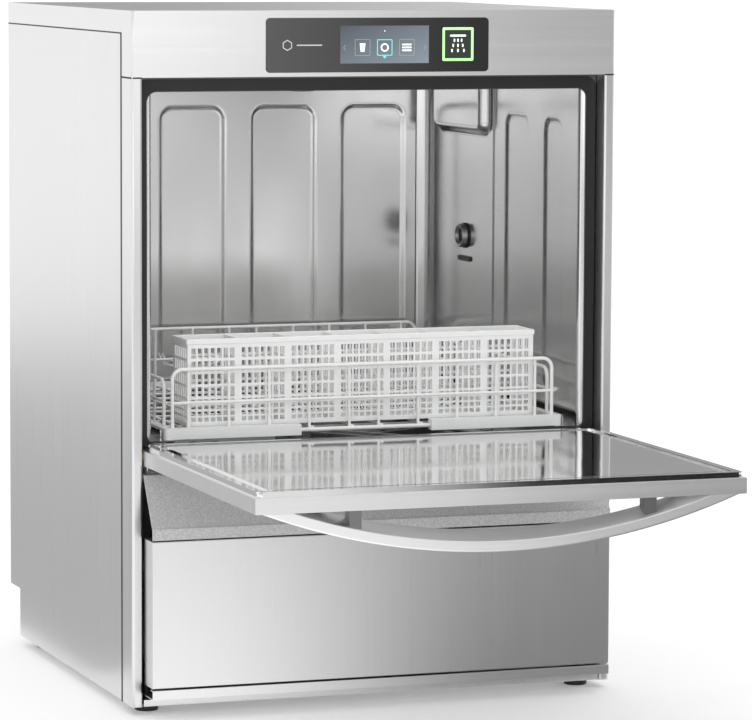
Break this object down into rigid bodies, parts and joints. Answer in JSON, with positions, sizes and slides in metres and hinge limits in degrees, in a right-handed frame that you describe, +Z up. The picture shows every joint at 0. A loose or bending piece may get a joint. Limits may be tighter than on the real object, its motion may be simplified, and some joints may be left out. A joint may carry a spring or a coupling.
{
  "type": "commercial dishwasher",
  "caption": "Undercounter commercial dishwasher with a drop-down front door, bow handle, wire rack with cutlery basket, spinning spray arms and a touch control panel.",
  "frame": {"origin": "on the floor, at the centre of the whole envelope with the door open; the wash chamber's axis is 211.5 mm behind it", "axes": "+X to the right seen from the front, +Y from the front to the rear, +Z up"},
  "size_m": [0.6, 0.9954, 0.82],
  "materials": {
    "cabinet_steel": "fine vertical brushing, satin",
    "chamber_steel": "smooth, near mirror",
    "liner_steel": "polished",
    "hardware_steel": "plain bright",
    "handle_metal": "satin, brushed along its length",
    "pump_metal": "cast, matt",
    "valve_brass": "machined",
    "textured_grey": "fine textured coat",
    "black_coated_steel": "black coated steel",
    "black_glass": "high gloss",
    "screen": "lit display",
    "button_face": "gloss with a lit frame",
    "circuit_board": "solder resist",
    "black_plastic": "moulded",
    "arm_plastic": "moulded",
    "white_plastic": "moulded, semi matt",
    "white_coated_wire": "plastic dip coat",
    "black_rubber": "extruded",
    "grey_hose": "extruded",
    "foam": "light insulating pad"
  },
  "bodies": {
    "cabinet": {"base_frame": "cabinet_steel", "front_post_left": "cabinet_steel", "front_post_right": "cabinet_steel", "side_panel_left": "cabinet_steel", "side_panel_right": "cabinet_steel", "rear_panel": "cabinet_steel", "rear_panel_screws": "hardware_steel", "top_lid": "cabinet_steel", "control_fascia": "cabinet_steel", "control_glass": "black_glass", "touch_screen": "screen", "control_board": "circuit_board", "chamber_wall_left": "chamber_steel", "chamber_wall_right": "chamber_steel", "chamber_rear_wall": "chamber_steel", "chamber_ceiling": "chamber_steel", "chamber_front_frame": "chamber_steel", "wall_fitting": "hardware_steel", "door_gasket": "black_rubber", "door_switch": "black_plastic", "rack_rails": "chamber_steel", "wash_tank": "chamber_steel", "tank_strainer": "chamber_steel", "filter_cylinder": "chamber_steel", "tank_heater": "hardware_steel", "feed_manifold": "black_plastic", "upper_feed_pipe": "chamber_steel", "wash_pump": "pump_metal", "internal_hoses": "black_rubber", "drain_pump": "black_plastic", "drain_hose": "grey_hose", "boiler": "pump_metal", "rinse_pump": "black_plastic", "inlet_valve": "valve_brass", "service_bracket": "cabinet_steel", "dosing_pumps": "black_plastic", "power_cable": "black_rubber", "arm_axles": "hardware_steel", "arm_nuts": "black_plastic", "sloped_apron": "textured_grey", "lower_front_panel": "cabinet_steel", "front_ledge": "cabinet_steel", "hinge_bushes": "valve_brass", "hinge_brackets": "hardware_steel", "door_springs": "hardware_steel"},
    "door": {"door_outer_shell": "cabinet_steel", "door_inner_liner": "liner_steel", "door_insulation": "foam", "door_handle": "handle_metal", "handle_brackets": "black_coated_steel", "hinge_cranks": "hardware_steel"},
    "button": {"start_button": "button_face"},
    "lower_wash": {"lower_wash_arm": "arm_plastic"},
    "lower_rinse": {"lower_rinse_arm": "chamber_steel"},
    "upper_wash": {"upper_wash_arm": "arm_plastic"},
    "upper_rinse": {"upper_rinse_arm": "chamber_steel"},
    "rack": {"wire_rack": "white_coated_wire", "rack_bumpers": "white_plastic"},
    "basket": {"cutlery_basket": "white_plastic"},
    "feet": {"levelling_feet": "black_coated_steel"}
  },
  "joints": [
    {"name": "door_hinge", "type": "hinge", "parent": "cabinet", "child": "door", "pos_m": [0, -0.0622, 0.3038], "axis": [-1, 0, 0], "range_deg": [0, 90], "deforming": ["door_springs"]},
    {"name": "rack_slide", "type": "slide", "parent": "cabinet", "child": "rack", "axis": [0, 1, 0], "range_m": [-0.43, 0]},
    {"name": "basket_lift", "type": "slide", "parent": "rack", "child": "basket", "axis": [0, 0, 1], "range_m": [0, 0.12]},
    {"name": "start_button_press", "type": "slide", "parent": "cabinet", "child": "button", "axis": [0, 1, 0], "range_m": [0, 0.002], "stiffness_N_per_m": 400},
    {"name": "lower_wash_arm_spin", "type": "hinge", "parent": "cabinet", "child": "lower_wash", "pos_m": [0, 0.2115, 0.27], "axis": [0, 0, 1], "continuous": true},
    {"name": "lower_rinse_arm_spin", "type": "hinge", "parent": "cabinet", "child": "lower_rinse", "pos_m": [0, 0.2115, 0.29], "axis": [0, 0, 1], "continuous": true},
    {"name": "upper_wash_arm_spin", "type": "hinge", "parent": "cabinet", "child": "upper_wash", "pos_m": [0, 0.2115, 0.75], "axis": [0, 0, 1], "continuous": true},
    {"name": "upper_rinse_arm_spin", "type": "hinge", "parent": "cabinet", "child": "upper_rinse", "pos_m": [0, 0.2115, 0.73], "axis": [0, 0, 1], "continuous": true},
    {"name": "feet_levelling", "type": "slide", "parent": "cabinet", "child": "feet", "axis": [0, 0, 1], "range_m": [-0.03, 0]}
  ]
}
